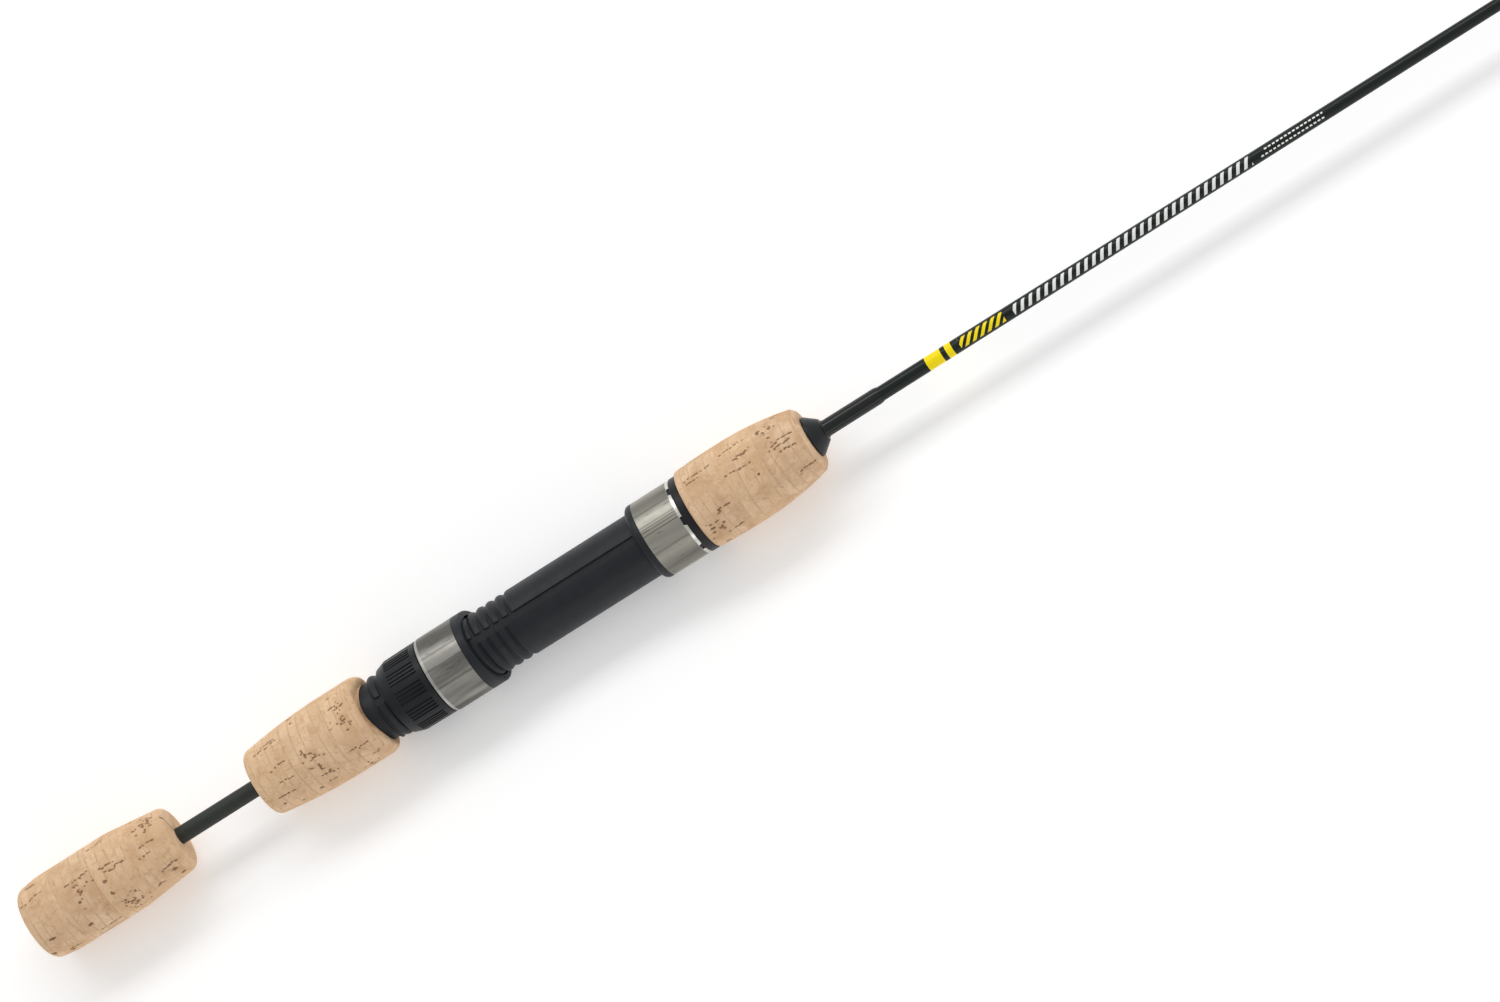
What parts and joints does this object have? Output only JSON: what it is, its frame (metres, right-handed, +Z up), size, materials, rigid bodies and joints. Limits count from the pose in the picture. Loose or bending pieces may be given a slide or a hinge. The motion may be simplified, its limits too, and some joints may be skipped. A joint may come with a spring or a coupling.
{
  "type": "ice fishing rod",
  "caption": "Short ice fishing rod with split cork grips, a screw-locked reel seat with steel hoods, a slim black blank and ceramic-ringed line guides.",
  "frame": {"origin": "centre of the flat rear face of the butt grip, on the blank's axis", "axes": "+X along the rod from butt to tip, +Z up, away from the reel: the saddle and the line guides face -Z"},
  "size_m": [0.711, 0.0251, 0.0255],
  "materials": {
    "carbon": "gloss black carbon rod with a faint green tint",
    "cork": "sanded natural cork rings",
    "black_nylon": "fine-grained moulded black nylon",
    "arbor_tape": "wound masking tape",
    "bright_steel": "bright drawn stainless steel with a polished edge",
    "satin_steel": "satin stainless steel",
    "black_rubber": "black rubber with a dull sheen",
    "wrap_thread": "fine black nylon winding thread",
    "wrap_epoxy": "clear gloss epoxy over black thread",
    "guide_metal": "black plated steel",
    "ring_ceramic": "dark polished ceramic"
  },
  "bodies": {
    "root": {"blank": "carbon", "butt_grip": "cork", "mid_grip": "cork", "fore_grip": "cork", "seat_body": "black_nylon", "seat_arbor_rear": "arbor_tape", "seat_arbor_front": "arbor_tape", "fixed_hood_sleeve": "bright_steel", "seat_front_ring": "black_nylon", "winding_check": "black_rubber", "butt_wrap_thread": "wrap_thread", "butt_wrap_coat": "wrap_epoxy", "guide_1_frame": "guide_metal", "guide_1_ring": "ring_ceramic", "guide_1_thread": "wrap_thread", "guide_1_coat": "wrap_epoxy", "guide_2_frame": "guide_metal", "guide_2_ring": "ring_ceramic", "guide_2_thread": "wrap_thread", "guide_2_coat": "wrap_epoxy", "guide_3_frame": "guide_metal", "guide_3_ring": "ring_ceramic", "guide_3_thread": "wrap_thread", "guide_3_coat": "wrap_epoxy", "guide_4_frame": "guide_metal", "guide_4_ring": "ring_ceramic", "guide_4_thread": "wrap_thread", "guide_4_coat": "wrap_epoxy", "tip_top_frame": "guide_metal", "tip_top_ring": "ring_ceramic", "tip_top_thread": "wrap_thread", "tip_top_coat": "wrap_epoxy"},
    "moving_hood": {"moving_hood_liner": "black_nylon", "moving_hood_sleeve": "satin_steel"},
    "nut": {"locking_nut": "black_nylon"}
  },
  "joints": [
    {"name": "hood_slide", "type": "slide", "parent": "root", "child": "moving_hood", "axis": [1, 0, 0], "range_m": [-0.0031, 0.0248]},
    {"name": "nut_turn", "type": "hinge", "parent": "moving_hood", "child": "nut", "pos_m": [0.13, 0, -0.0013], "axis": [1, 0, 0], "range_deg": [-360, 2880]}
  ],
  "couplings": [
    {"joint": "hood_slide", "follows": "nut_turn", "m_per_rad": 0.00049338}
  ]
}
